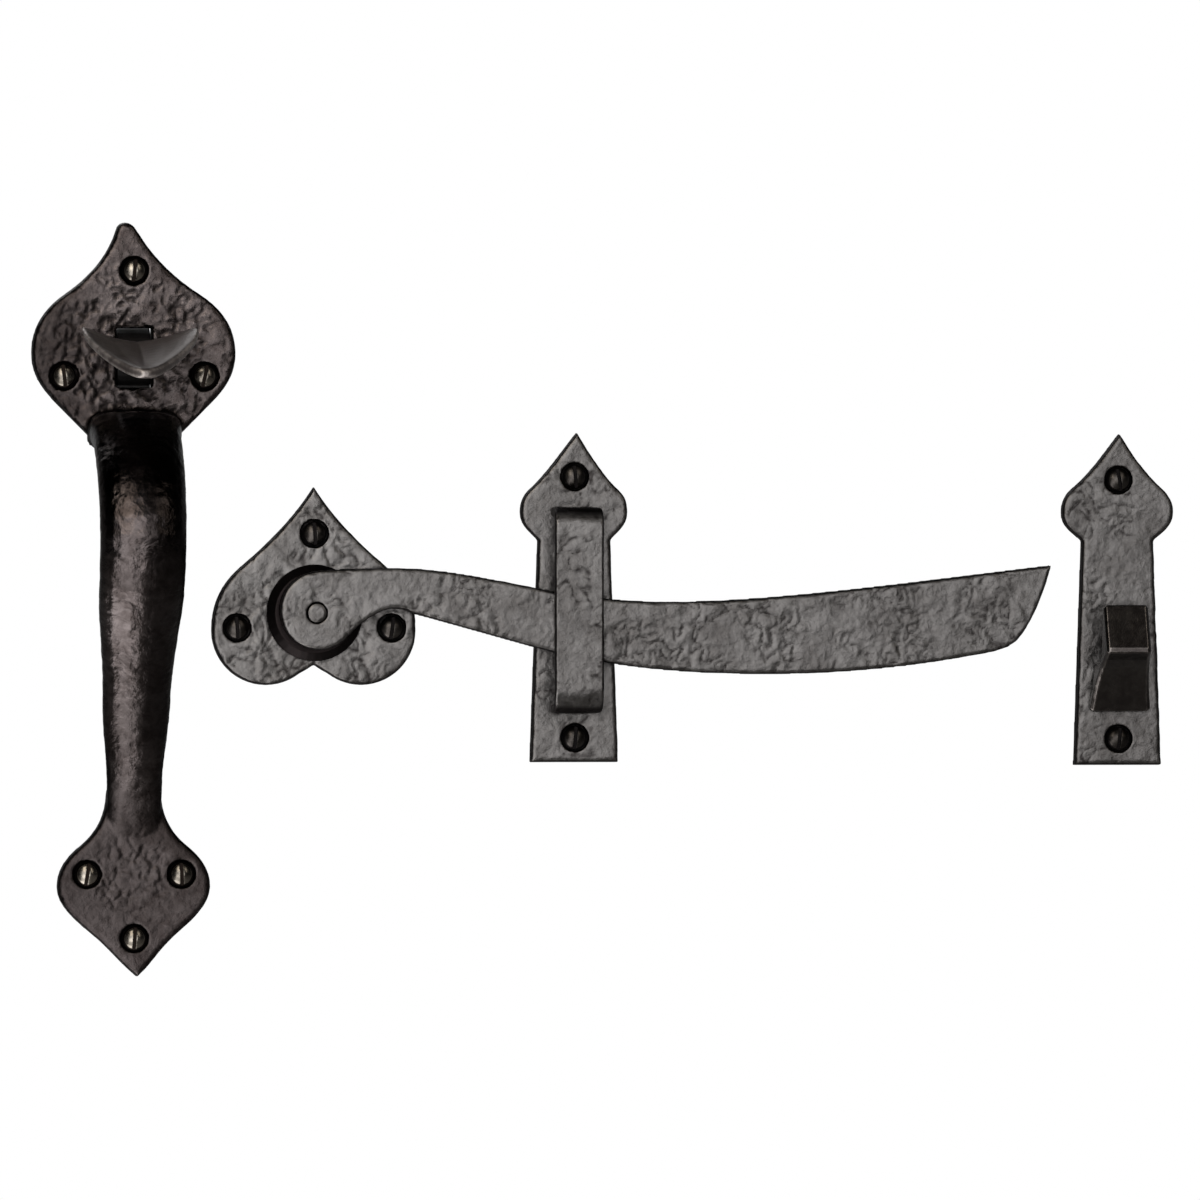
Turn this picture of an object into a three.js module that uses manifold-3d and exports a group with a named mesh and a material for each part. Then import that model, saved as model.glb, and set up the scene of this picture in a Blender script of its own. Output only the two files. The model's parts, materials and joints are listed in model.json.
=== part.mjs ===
// Rustic black-iron thumb latch set: outside pull handle with its thumb press, fall bar on a heart plate,
// guide plate with its staple, and keeper plate with its hook, all laid out side by side on one door face.
// Millimetres. +X to the right, +Z up, +Y into the door, so every front faces -Y. The origin is on the door
// face, at the back of the guide plate, level with the fall bar's pivot.
import * as THREE from "three";
import { mergeVertices } from "three/addons/utils/BufferGeometryUtils.js";
import Module from "manifold-3d";

const wasm = await Module();
wasm.setup();

// ---- Driving dimensions -------------------------------------------------------------------------------

const GAP = 0.3; // left between pieces that bear on each other
const CUT = 60; // how far a cutter runs past what it cuts
const FACETS = 18; // round a screw or a hole

// Where each unit stands along the door.
const HANDLE_X = -112.8;
const PIVOT_X = -66.8;
const GUIDE_X = 0;
const KEEPER_X = 140.9;

const PLATE = { thick: 3.6, edge: 1.0 }; // heart, guide and keeper plates
const CASTING = { thick: 4.2, edge: 1.3 }; // the handle's two plates

// Round-head slotted wood screw, and the seat that it sinks into.
const SCREW = {
  head: 3.15, rim: 0.5, dome: 2.6, shank: 1.75, length: 24, point: 7, tip: 0.35, slotWide: 0.9, slotDeep: 1.2,
};
const SEAT = { radius: 3.5, deep: 1.1, hole: 2.1 };

// The thumb press turns on a pin through two ears behind the handle's upper plate.
const SLOT = { wide: 9.4, low: 57.3, high: 72.5 };
const THUMB_PIN = { y: 5.2, z: 64.6, radius: 2.0 };
const EAR = { thick: 3.2, low: 56.4, high: 73.0, root: 1.0, deep: 9.2 };
const HUB = { radius: 8.6, wide: 8.7 }; // the press's round hub, which fills the slot
const PIN_PROUD = 0.4; // how far the pin stands out of each ear
const RUNNING = 0.1; // radial clearance of a turning fit

// The fall bar's pivot rivet and the spacer that lifts the bar over the screw heads.
const RIVET = { shank: 2.2, head: 2.45, headDeep: 1.0, crown: 1.7, rise: 0.2, tail: 4.2, tailDeep: 1.0 };
const SPACER = { radius: 12.4, thick: 2.4, edge: 2.1 };
const BAR = { thick: 4.6, edge: 0.9 };
const BAR_BACK = PLATE.thick + GAP + SPACER.thick + GAP; // distance of the bar's back from the door

// The staple that the bar runs through: a strip with a round bend at each end, the lower one wider.
const STAPLE = { wide: 12.8, metal: 2.4, edge: 0.5, high: 27.0, low: -25.7, bendHigh: 4.6, bendLow: 6.2 };
const STAPLE_PLAY = 0.7; // between the bar's front and the staple
const STAPLE_FRONT = BAR_BACK + BAR.thick + STAPLE_PLAY + STAPLE.metal; // distance of its face from the door
const SHOULDER = { side: 1.6, end: 0.7 }; // how far in from its leg's sides and ends a tenon is

// The keeper's hook: heights of its tip, crest, notch and heel, and distances from the door of its front
// and of the blade that closes the notch. Its crest is a narrow upright flat.
const HOOK = {
  wide: 11.6, flare: 2.2, edge: 0.7, blade: 2.6, tenon: 5.4, crestFlat: 1.3, corner: 1.8,
  tip: 2.0, crest: -9.6, notch: -13.0, heel: -25.3, foot: 2.6, reach: 19.6, mouth: 12.4,
};
const HOOK_SCOOP = [9.5, -15.5]; // what the arm's hollow underside is drawn towards

// ---- Making solids ------------------------------------------------------------------------------------

// A closed geometry as a manifold-3d solid.
function solidOf(geometry) {
  const bare = geometry.clone();
  bare.deleteAttribute("normal");
  bare.deleteAttribute("uv");
  const merged = mergeVertices(bare, 1e-4);
  return new wasm.Manifold(
    new wasm.Mesh({
      numProp: 3,
      vertProperties: new Float32Array(merged.attributes.position.array),
      triVerts: new Uint32Array(merged.index.array),
    }),
  );
}

function geometryOf(solid) {
  const mesh = solid.getMesh();
  const geometry = new THREE.BufferGeometry();
  geometry.setAttribute("position", new THREE.BufferAttribute(mesh.vertProperties, 3));
  geometry.setIndex(new THREE.BufferAttribute(mesh.triVerts, 1));
  geometry.computeVertexNormals();
  return geometry;
}

const joined = (first, ...others) => others.reduce((sum, other) => sum.add(other), first);
const without = (first, ...cutters) => cutters.reduce((rest, cutter) => rest.subtract(cutter), first);

// A block from its low corner to its high corner.
function block(low, high) {
  const size = high.map((value, i) => value - low[i]);
  const centre = high.map((value, i) => (value + low[i]) / 2);
  return solidOf(new THREE.BoxGeometry(...size).translate(...centre));
}

// A round bar along Y, from nearY to farY, where y is into the door.
function roundY(radius, x, z, nearY, farY, facets = FACETS) {
  const bar = new THREE.CylinderGeometry(radius, radius, farY - nearY, facets);
  return solidOf(bar.translate(x, (nearY + farY) / 2, z));
}

function roundX(radius, y, z, fromX, toX, facets = FACETS) {
  const bar = new THREE.CylinderGeometry(radius, radius, toX - fromX, facets).rotateZ(Math.PI / 2);
  return solidOf(bar.translate((fromX + toX) / 2, y, z));
}

// An outline in (x, z) about the given x, raised from its back to the given thickness, with its front edge
// rounded over.
function plateOf(outline, { thick, edge }, x, back = 0) {
  const raised = new THREE.ExtrudeGeometry(new THREE.Shape(outline), {
    depth: thick - edge,
    bevelThickness: edge,
    bevelSize: edge,
    bevelOffset: -edge,
    bevelSegments: 2,
  });
  const solid = solidOf(raised.rotateX(Math.PI / 2).translate(x, -back, 0));
  return without(solid, block([-CUT * 5, -back, -CUT * 3], [CUT * 5, -back + CUT, CUT * 3]));
}

// The whole outline of a shape that is the same on both sides of x = 0, from its right half, top to bottom.
function bothSides(rightHalf, divisions) {
  const right = rightHalf.getPoints(divisions);
  const left = right.filter((p) => p.x > 0).map((p) => new THREE.Vector2(-p.x, p.y));
  return [...right, ...left.reverse()];
}

// A skin over rings of equally many points, closed flat at both ends.
function loft(rings) {
  const count = rings[0].length;
  const points = rings.flat();
  const triangles = [];
  for (let r = 0; r + 1 < rings.length; r += 1) {
    for (let i = 0; i < count; i += 1) {
      const a = r * count + i;
      const b = r * count + ((i + 1) % count);
      triangles.push(a, b, a + count, b, b + count, a + count);
    }
  }
  const last = (rings.length - 1) * count;
  for (let i = 1; i + 1 < count; i += 1) {
    triangles.push(0, i + 1, i, last, last + i, last + i + 1);
  }
  const geometry = new THREE.BufferGeometry().setFromPoints(points);
  geometry.setIndex(triangles);
  const solid = solidOf(geometry);
  return solid.volume() > 0 ? solid : solidOf(turnedInsideOut(geometry));
}

function turnedInsideOut(geometry) {
  const order = Array.from(geometry.index.array);
  for (let i = 0; i < order.length; i += 3) {
    [order[i + 1], order[i + 2]] = [order[i + 2], order[i + 1]];
  }
  geometry.setIndex(order);
  return geometry;
}

// A smooth value along a list of [place, value] pairs.
function along(pairs, place) {
  const found = pairs.findIndex(([at]) => at >= place);
  if (found < 0) return pairs[pairs.length - 1][1];
  if (found === 0) return pairs[0][1];
  const [[from, low], [to, high]] = [pairs[found - 1], pairs[found]];
  return THREE.MathUtils.lerp(low, high, THREE.MathUtils.smoothstep(place, from, to));
}

// The row at t, from 0 to 1 along the rows, on a smooth curve through every one of them.
function smoothRow(rows, t) {
  const place = t * (rows.length - 1);
  const start = Math.min(Math.floor(place), rows.length - 2);
  const u = place - start;
  const rowAt = (i) => rows[THREE.MathUtils.clamp(i, 0, rows.length - 1)];
  return rowAt(start).map((from, column) => {
    const to = rowAt(start + 1)[column];
    const slopeFrom = (to - rowAt(start - 1)[column]) / 2;
    const slopeTo = (rowAt(start + 2)[column] - from) / 2;
    const step = u * u * (3 - 2 * u);
    return from + (to - from) * step + slopeFrom * u * (1 - u) ** 2 - slopeTo * u * u * (1 - u);
  });
}

// ---- Materials ----------------------------------------------------------------------------------------

const iron = (color, roughness) => new THREE.MeshStandardMaterial({ color, roughness, metalness: 0.4 });
const CAST_BLACK = iron(0x2b2727, 0.35);
const PLATE_BLACK = iron(0x4a4846, 0.45);
const SMOOTH_BLACK = iron(0x1f1c1b, 0.3);
const SCREW_BLACK = iron(0x35302a, 0.4);

const latch = new THREE.Group();

function add(name, solid, material, parent = latch) {
  const mesh = new THREE.Mesh(geometryOf(solid), material);
  mesh.name = name;
  parent.add(mesh);
}

// ---- Screws -------------------------------------------------------------------------------------------

// What a screw's place takes out of a plate: the clearance hole and the seat for its head.
function screwSeat(x, z, thick) {
  return joined(
    roundY(SEAT.hole, x, z, -CUT, CUT),
    roundY(SEAT.radius, x, z, -CUT, -thick + SEAT.deep),
  );
}

// A slotted screw along Y: a domed head, a plain shank and a point, turned in one profile.
function screwAt(x, z, thick) {
  const { head, rim, dome, shank, length, point, tip, slotWide, slotDeep } = SCREW;
  const arc = Array.from({ length: 5 }, (_, i) => {
    const angle = (i / 4) * (Math.PI / 2);
    return new THREE.Vector2(head * Math.cos(angle), rim + (dome - rim) * Math.sin(angle));
  });
  arc[4].x = 0;
  const profile = [
    new THREE.Vector2(0, -length),
    new THREE.Vector2(tip, -length + tip),
    new THREE.Vector2(shank, -length + point),
    new THREE.Vector2(shank, 0),
    new THREE.Vector2(head, 0),
    ...arc,
  ];
  const turned = new THREE.LatheGeometry(profile, FACETS).rotateX(Math.PI);
  const under = -thick + SEAT.deep - GAP; // where the head's flat underside lies
  const body = solidOf(turned.translate(x, under, z));
  const top = under - dome;
  const half = slotWide / 2;
  const slot = block([x - half, -CUT, z - head * 2], [x + half, top + slotDeep, z + head * 2]);
  return without(body, slot);
}

function addScrews(unit, places, thick) {
  const group = new THREE.Group();
  places.forEach(([name, x, z]) => add(`${unit}_screw_${name}`, screwAt(x, z, thick), SCREW_BLACK, group));
  latch.add(group);
}

const seatsFor = (places, thick) => places.map(([, x, z]) => screwSeat(x, z, thick));

// ---- Handle -------------------------------------------------------------------------------------------

const HANDLE_SCREWS = [
  ["top", HANDLE_X, 87.0],
  ["upper_left", HANDLE_X - 17.9, 60.2],
  ["upper_right", HANDLE_X + 17.9, 60.2],
  ["lower_left", HANDLE_X - 12.0, -66.4],
  ["lower_right", HANDLE_X + 12.0, -66.4],
  ["bottom", HANDLE_X, -82.7],
];

// Leans the part of an outline beyond `from` sideways, most at its tip, as the casting does.
function leaned(outline, from, tip, lean) {
  return outline.map((p) => {
    const share = THREE.MathUtils.clamp((p.y - from) / (tip - from), 0, 1);
    return new THREE.Vector2(p.x + lean * share ** 2, p.y);
  });
}

// The upper plate: a spade with an ogee point, narrowing again behind the root of the grip.
function upperSpade() {
  const half = new THREE.Path().moveTo(0, 99.4);
  half.quadraticCurveTo(1.9, 99.3, 2.7, 97.4);
  half.bezierCurveTo(5.6, 91.0, 10.4, 85.7, 17.0, 81.3);
  half.bezierCurveTo(22.5, 77.7, 26.1, 72.8, 26.1, 66.2);
  half.bezierCurveTo(26.1, 59.8, 22.7, 56.2, 18.5, 52.0);
  half.lineTo(10.6, 44.0);
  half.quadraticCurveTo(5.6, 39.2, 0, 39.2);
  return leaned(bothSides(half, 9), 72, 99.4, -2.2);
}

// The foot: a smaller spade that hangs point down from the thin end of the grip.
function footSpade() {
  const half = new THREE.Path().moveTo(4.6, -35);
  half.lineTo(7.1, -46);
  half.bezierCurveTo(7.2, -50.8, 9.0, -55.4, 13.4, -59.0);
  half.bezierCurveTo(17.4, -62.2, 19.6, -65.4, 19.6, -69.6);
  half.bezierCurveTo(19.6, -74.4, 14.8, -78.3, 9.8, -82.6);
  half.bezierCurveTo(6.6, -85.4, 4.0, -89.2, 0, -92.7);
  return leaned(bothSides(half, 8), -74, -92.7, 0.9);
}

// The grip's middle line, seen from the side as (distance from the door, height).
const GRIP_LINE = new THREE.CatmullRomCurve3(
  [
    [1.5, 46.2],
    [9.0, 45.8],
    [18.5, 41.4],
    [29.0, 33.0],
    [34.4, 21.6],
    [32.6, 11.0],
    [26.6, 2.4],
    [20.0, -6.0],
    [11.6, -21.0],
    [6.4, -34.5],
    [4.2, -44.0],
    [2.0, -58.0],
  ].map(([out, up]) => new THREE.Vector3(0, -out, up)),
);
// Along that line: the grip's width, and its depth from front to back.
const GRIP_WIDE = [[0, 24.4], [0.12, 22.6], [0.45, 22.0], [0.72, 17.6], [0.9, 14.4], [1, 13.4]];
const GRIP_DEEP = [[0, 11.0], [0.3, 11.4], [0.6, 10.6], [0.84, 8.2], [0.94, 6.0], [1, 3.6]];
const GRIP_SQUARE = [[0, 3.4], [0.2, 2.1], [0.85, 2.0], [1, 3.0]]; // 2 is an ellipse, more is squarer

function gripSolid() {
  const steps = 34;
  const sides = 24;
  const rings = [];
  for (let s = 0; s <= steps; s += 1) {
    const t = s / steps;
    const centre = GRIP_LINE.getPointAt(t);
    const tangent = GRIP_LINE.getTangentAt(t);
    const outward = new THREE.Vector3(0, -tangent.z, tangent.y).normalize();
    const half = new THREE.Vector2(along(GRIP_WIDE, t) / 2, along(GRIP_DEEP, t) / 2);
    rings.push(roundedRing(centre, outward, half, along(GRIP_SQUARE, t), sides));
  }
  return loft(rings);
}

// One section of the grip: a squared oval, wide along X and deep along the outward direction.
function roundedRing(centre, outward, half, squareness, sides) {
  return Array.from({ length: sides }, (_, i) => {
    const angle = (i / sides) * 2 * Math.PI;
    const soft = (v) => Math.sign(v) * Math.abs(v) ** (2 / squareness);
    const point = centre.clone().addScaledVector(outward, half.y * soft(Math.sin(angle)));
    point.x += HANDLE_X + half.x * soft(Math.cos(angle));
    return point;
  });
}

const thumbPinHole = () =>
  roundX(THUMB_PIN.radius + RUNNING, THUMB_PIN.y, THUMB_PIN.z, HANDLE_X - CUT, HANDLE_X + CUT);

function handleSolid() {
  const upper = plateOf(upperSpade(), CASTING, HANDLE_X);
  const foot = plateOf(footSpade(), CASTING, HANDLE_X);
  const behindDoorFace = block([HANDLE_X - CUT, 0, -CUT * 2], [HANDLE_X + CUT, CUT, CUT * 2]);
  const front = without(joined(upper, foot, gripSolid()), behindDoorFace);
  const inner = SLOT.wide / 2 + GAP;
  const ears = [1, -1].map((side) => {
    const sides = [HANDLE_X + side * inner, HANDLE_X + side * (inner + EAR.thick)].sort((a, b) => a - b);
    return block([sides[0], -EAR.root, EAR.low], [sides[1], EAR.deep, EAR.high]);
  });
  const slot = block(
    [HANDLE_X - SLOT.wide / 2, -CUT, SLOT.low],
    [HANDLE_X + SLOT.wide / 2, CUT, SLOT.high],
  );
  return without(joined(front, ...ears), slot, thumbPinHole(), ...seatsFor(HANDLE_SCREWS, CASTING.thick));
}

// ---- Thumb press --------------------------------------------------------------------------------------

// Stations from the tail's end inside the door to the leaf's front edge:
// [distance in front of the door face, middle height, half width, half thickness, how far the sides turn up]
const THUMB_STATIONS = [
  [-70.0, 59.2, 2.4, 1.2, 0],
  [-68.5, 58.9, 3.6, 2.2, 0],
  [-60.0, 58.6, 4.0, 2.6, 0],
  [-35.0, 61.0, 4.2, 3.0, 0],
  [-12.0, 63.8, 4.3, 3.6, 0],
  [-5.2, 64.5, 4.3, 4.0, 0],
  [0.0, 64.8, 4.3, 3.2, 0],
  [8.0, 65.9, 4.3, 2.5, 0],
  [11.5, 66.5, 5.8, 2.1, 0.3],
  [14.5, 66.8, 9.2, 1.9, 1.9],
  [18.0, 66.4, 12.9, 1.9, 4.4],
  [22.0, 65.6, 14.6, 1.9, 5.8],
  [26.0, 64.6, 14.7, 1.9, 6.0],
  [30.0, 63.4, 13.7, 1.9, 5.0],
  [34.0, 62.2, 11.0, 1.85, 3.3],
  [38.0, 61.0, 7.4, 1.75, 1.6],
  [41.4, 60.2, 4.0, 1.5, 0.4],
  [42.7, 60.0, 2.4, 1.3, 0.1],
  [43.4, 59.9, 0.8, 0.6, 0],
];

const THUMB_SECTION = { sides: 24, across: 0.62, over: 0.6, dish: 1.6 }; // how square it is, and how dished
const THUMB_STEPS = 2; // rings per station

function thumbRing([front, middle, halfWide, halfThick, turnUp]) {
  const squared = (value, power) => Math.sign(value) * Math.abs(value) ** power;
  return Array.from({ length: THUMB_SECTION.sides }, (_, i) => {
    const angle = (i / THUMB_SECTION.sides) * 2 * Math.PI;
    const across = squared(Math.cos(angle), THUMB_SECTION.across);
    const over = squared(Math.sin(angle), THUMB_SECTION.over);
    const up = middle + halfThick * over + turnUp * Math.abs(across) ** THUMB_SECTION.dish;
    return new THREE.Vector3(HANDLE_X + halfWide * across, -front, up);
  });
}

function thumbSolid() {
  const steps = (THUMB_STATIONS.length - 1) * THUMB_STEPS;
  const rings = Array.from({ length: steps + 1 }, (_, i) => thumbRing(smoothRow(THUMB_STATIONS, i / steps)));
  const half = HUB.wide / 2;
  const hub = roundX(HUB.radius, THUMB_PIN.y, THUMB_PIN.z, HANDLE_X - half, HANDLE_X + half, 2 * FACETS);
  return without(joined(loft(rings), hub), thumbPinHole());
}

function thumbPinSolid() {
  const half = SLOT.wide / 2 + GAP + EAR.thick + PIN_PROUD;
  return roundX(THUMB_PIN.radius, THUMB_PIN.y, THUMB_PIN.z, HANDLE_X - half, HANDLE_X + half);
}

// ---- Fall bar on its heart plate ----------------------------------------------------------------------

const HEART_SCREWS = [
  ["top", PIVOT_X, 20.2],
  ["left", PIVOT_X - 19.8, -3.8],
  ["right", PIVOT_X + 19.8, -3.8],
];

// A heart standing on its two lobes, point up.
function heartOutline() {
  const half = new THREE.Path().moveTo(0, 32.3);
  half.bezierCurveTo(3.8, 26.2, 9.6, 19.4, 18.0, 12.4);
  half.bezierCurveTo(23.6, 7.8, 26.2, 2.6, 26.2, -4.4);
  half.absarc(12.2, -4.4, 14.0, 0, THREE.MathUtils.degToRad(-128), true);
  half.quadraticCurveTo(1.2, -14.2, 0, -13.2);
  return bothSides(half, 10);
}

// The bar: a round eye, a thin neck and a long blade that sweeps up to a raked end.
function barOutline() {
  const eye = { x: 0.6, z: 0.6, radius: 10.1 };
  const shape = new THREE.Path().moveTo(189.2, 12.3);
  shape.bezierCurveTo(187.4, 5.5, 184.9, -0.6, 182.4, -4.4);
  shape.bezierCurveTo(180.4, -8.2, 177.4, -9.5, 172.0, -10.4);
  shape.bezierCurveTo(152.0, -14.4, 132.0, -15.9, 112.0, -15.7);
  shape.bezierCurveTo(94.0, -15.5, 76.0, -14.2, 56.0, -8.9);
  shape.bezierCurveTo(44.0, -5.6, 30.0, -1.6, 24.5, -0.2);
  shape.bezierCurveTo(19.5, 2.9, 13.5, 0.2, 7.1, -7.1);
  shape.absarc(eye.x, eye.z, eye.radius, THREE.MathUtils.degToRad(-50), THREE.MathUtils.degToRad(100), true);
  shape.bezierCurveTo(5.0, 11.4, 12.0, 11.5, 19.8, 11.5);
  shape.bezierCurveTo(42.0, 11.5, 58.0, 3.8, 85.0, 3.0);
  shape.bezierCurveTo(112.0, 2.2, 150.0, 7.6, 189.2, 12.3);
  return shape.getPoints(9).slice(1).reverse();
}

function heartPlateSolid() {
  const plate = plateOf(heartOutline(), PLATE, PIVOT_X);
  const tailSeat = roundY(RIVET.tail + GAP, PIVOT_X, 0, -RIVET.tailDeep - 2 * GAP, CUT);
  return without(plate, rivetHole(), tailSeat, ...seatsFor(HEART_SCREWS, PLATE.thick));
}

const rivetHole = () => roundY(RIVET.shank + RUNNING, PIVOT_X, 0, -CUT, CUT);

// A piece turned about the pivot's axis, its profile given as [radius, distance from the door].
function turnedAtPivot(profile, facets) {
  const points = profile.map(([radius, out]) => new THREE.Vector2(radius, out));
  return solidOf(new THREE.LatheGeometry(points, facets).rotateX(Math.PI).translate(PIVOT_X, 0, 0));
}

function spacerSolid() {
  const { radius, thick, edge } = SPACER;
  const back = PLATE.thick + GAP;
  const front = back + thick;
  const profile = [[0, back], [radius, back], [radius, front - edge], [radius - edge, front], [0, front]];
  return without(turnedAtPivot(profile, 2 * FACETS), rivetHole());
}

// The bar is countersunk for the rivet's head.
function barSolid() {
  const front = BAR_BACK + BAR.thick;
  const under = front - RIVET.headDeep - GAP;
  const wide = RIVET.head + RUNNING;
  const cone = [[0, under], [RIVET.shank, under], [wide, front - GAP], [wide, front + GAP], [0, front + GAP]];
  const countersink = turnedAtPivot(cone, FACETS);
  return without(plateOf(barOutline(), BAR, PIVOT_X, BAR_BACK), rivetHole(), countersink);
}

// The rivet runs from its countersunk head, just proud of the bar, to its tail, sunk in the plate's back.
function rivetSolid() {
  const { shank, head, headDeep, crown, rise, tail, tailDeep } = RIVET;
  const front = BAR_BACK + BAR.thick;
  return turnedAtPivot(
    [
      [0, GAP],
      [tail, GAP],
      [tail, GAP + tailDeep],
      [shank, GAP + tailDeep],
      [shank, front - headDeep],
      [head, front],
      [crown, front + rise],
      [0, front + rise],
    ],
    FACETS,
  );
}

// ---- Guide and keeper ---------------------------------------------------------------------------------

const GUIDE_SCREWS = [
  ["top", GUIDE_X, 34.8],
  ["bottom", GUIDE_X, -31.9],
];
const KEEPER_SCREWS = [
  ["top", KEEPER_X, 34.2],
  ["bottom", KEEPER_X, -32.4],
];

// Both narrow plates: an arrow head with round lobes on a shank that widens downwards. The two castings
// differ a little in the reach of their lobes, where they end and how their points lean.
const GUIDE_ARROW = { lobe: 13.9, low: -38.2, lean: 0.7 };
const KEEPER_ARROW = { lobe: 14.6, low: -39.2, lean: 0.5 };

function arrowOutline({ lobe, low, lean }) {
  const half = new THREE.Path().moveTo(0, 46.2);
  half.bezierCurveTo(3.3, 41.7, 6.2, 36.8, lobe - 3.2, 32.3);
  half.bezierCurveTo(lobe - 1.0, 30.6, lobe, 28.4, lobe, 25.8);
  half.bezierCurveTo(lobe, 22.2, lobe - 2.8, 20.6, 9.4, 18.6);
  half.lineTo(11.4, low);
  return leaned(bothSides(half, 8), 30, 46.2, lean);
}

// A profile in (distance from the door, height), spread to the given width about x = 0.
function spreadProfile(profile, wide, edge) {
  const shape = new THREE.Shape(profile.map((p) => new THREE.Vector2(-p.x, p.y)));
  const spread = new THREE.ExtrudeGeometry(shape, {
    depth: wide - 2 * edge,
    bevelThickness: edge,
    bevelSize: edge,
    bevelOffset: -edge,
    bevelSegments: 1,
  });
  // ExtrudeGeometry works in XY along Z: y becomes height, z becomes x.
  const turn = new THREE.Matrix4().makeBasis(
    new THREE.Vector3(0, 1, 0),
    new THREE.Vector3(0, 0, 1),
    new THREE.Vector3(1, 0, 0),
  );
  return spread.applyMatrix4(turn).translate(edge - wide / 2, 0, 0);
}

// Where a leg's tenon passes through its plate: the hole, and what is cut from round the tenon, whose
// shoulder then covers the hole. The leg reaches from low to high.
const tenonBlock = (x, low, high, wide, room) =>
  block(
    [x - wide / 2 + SHOULDER.side - room, -CUT, low + SHOULDER.end - room],
    [x + wide / 2 - SHOULDER.side + room, CUT, high - SHOULDER.end + room],
  );
const tenonHole = (...leg) => tenonBlock(...leg, GAP);

function roundTenon(x, low, high, wide) {
  const end = block([x - wide, -PLATE.thick - GAP, low - GAP], [x + wide, CUT, high + GAP]);
  return without(end, tenonBlock(x, low, high, wide, 0));
}

const STAPLE_LEGS = [
  [GUIDE_X, STAPLE.high - STAPLE.metal, STAPLE.high, STAPLE.wide],
  [GUIDE_X, STAPLE.low, STAPLE.low + STAPLE.metal, STAPLE.wide],
];
const HOOK_LEG = [KEEPER_X, HOOK.heel, HOOK.heel + HOOK.tenon, HOOK.wide + 2 * HOOK.flare];

function stapleSolid() {
  const { metal, high, low, bendHigh, bendLow, wide, edge } = STAPLE;
  const upperBend = [STAPLE_FRONT - bendHigh, high - bendHigh];
  const lowerBend = [STAPLE_FRONT - bendLow, low + bendLow];
  const quarter = Math.PI / 2;
  const profile = new THREE.Path().moveTo(GAP, high);
  profile.lineTo(STAPLE_FRONT - bendHigh, high);
  profile.absarc(...upperBend, bendHigh, quarter, 0, true);
  profile.absarc(...lowerBend, bendLow, 0, -quarter, true);
  profile.lineTo(GAP, low);
  profile.lineTo(GAP, low + metal);
  profile.absarc(...lowerBend, bendLow - metal, -quarter, 0, false);
  profile.absarc(...upperBend, bendHigh - metal, 0, quarter, false);
  profile.lineTo(GAP, high - metal);
  const strip = solidOf(spreadProfile(profile.getPoints(6), wide, edge).translate(GUIDE_X, 0, 0));
  return without(strip, ...STAPLE_LEGS.map((leg) => roundTenon(...leg)));
}

function guidePlateSolid() {
  const plate = plateOf(arrowOutline(GUIDE_ARROW), PLATE, GUIDE_X);
  const holes = STAPLE_LEGS.map((leg) => tenonHole(...leg));
  return without(plate, ...holes, ...seatsFor(GUIDE_SCREWS, PLATE.thick));
}

// The hook: an arm that rises outwards from the plate to a crest, then a blade that leans back to its tip.
// The arm's top is the notch that the bar drops into, and it grows wider down to its heel.
function hookSolid() {
  const { wide, flare, edge, blade, tenon, crestFlat, corner } = HOOK;
  const { tip, crest, notch, heel, foot, reach, mouth } = HOOK;
  const underside = new THREE.Path().moveTo(PLATE.thick + foot, heel);
  underside.quadraticCurveTo(...HOOK_SCOOP, reach, crest - crestFlat / 2);
  const profile = [
    [GAP, heel],
    ...underside.getPoints(6).map((p) => [p.x, p.y]),
    [reach, crest + crestFlat / 2],
    [mouth + blade, tip],
    [mouth, tip],
    [mouth, notch + corner],
    [mouth - corner, notch],
    [PLATE.thick + GAP, notch],
    [PLATE.thick + GAP, heel + tenon],
    [GAP, heel + tenon],
  ].map(([out, up]) => new THREE.Vector2(out, up));
  const hook = spreadProfile(profile, wide, edge);
  const at = hook.attributes.position;
  for (let i = 0; i < at.count; i += 1) {
    const drop = THREE.MathUtils.clamp((crest - at.getZ(i)) / (crest - heel), 0, 1);
    at.setX(i, at.getX(i) * (1 + (drop * flare) / (wide / 2)));
  }
  return without(solidOf(hook.translate(KEEPER_X, 0, 0)), roundTenon(...HOOK_LEG));
}

function keeperPlateSolid() {
  const plate = plateOf(arrowOutline(KEEPER_ARROW), PLATE, KEEPER_X);
  return without(plate, tenonHole(...HOOK_LEG), ...seatsFor(KEEPER_SCREWS, PLATE.thick));
}

// ---- The set ------------------------------------------------------------------------------------------

add("handle", handleSolid(), CAST_BLACK);
add("thumb_press", thumbSolid(), SMOOTH_BLACK);
add("thumb_pivot_pin", thumbPinSolid(), SCREW_BLACK);
addScrews("handle", HANDLE_SCREWS, CASTING.thick);

add("heart_plate", heartPlateSolid(), PLATE_BLACK);
add("pivot_spacer", spacerSolid(), SMOOTH_BLACK);
add("latch_bar", barSolid(), PLATE_BLACK);
add("pivot_rivet", rivetSolid(), SCREW_BLACK);
addScrews("heart", HEART_SCREWS, PLATE.thick);

add("guide_plate", guidePlateSolid(), PLATE_BLACK);
add("guide_staple", stapleSolid(), PLATE_BLACK);
addScrews("guide", GUIDE_SCREWS, PLATE.thick);

add("keeper_plate", keeperPlateSolid(), PLATE_BLACK);
add("keeper_hook", hookSolid(), SMOOTH_BLACK);
addScrews("keeper", KEEPER_SCREWS, PLATE.thick);

export default latch;
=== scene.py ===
"""The looks of a rustic black-iron thumb latch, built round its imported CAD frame. Blender 4.5, metres.

Every casting starts from its own CAD solid: the copy is remeshed finely, its edges are relaxed as a
casting's are, and hammer dents, wrinkles and cracks are sunk into its front. The screws are turned afresh,
with threads.
"""
import json
import math

import bmesh
import bpy
import numpy as np
from mathutils import Matrix, Vector, noise


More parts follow.
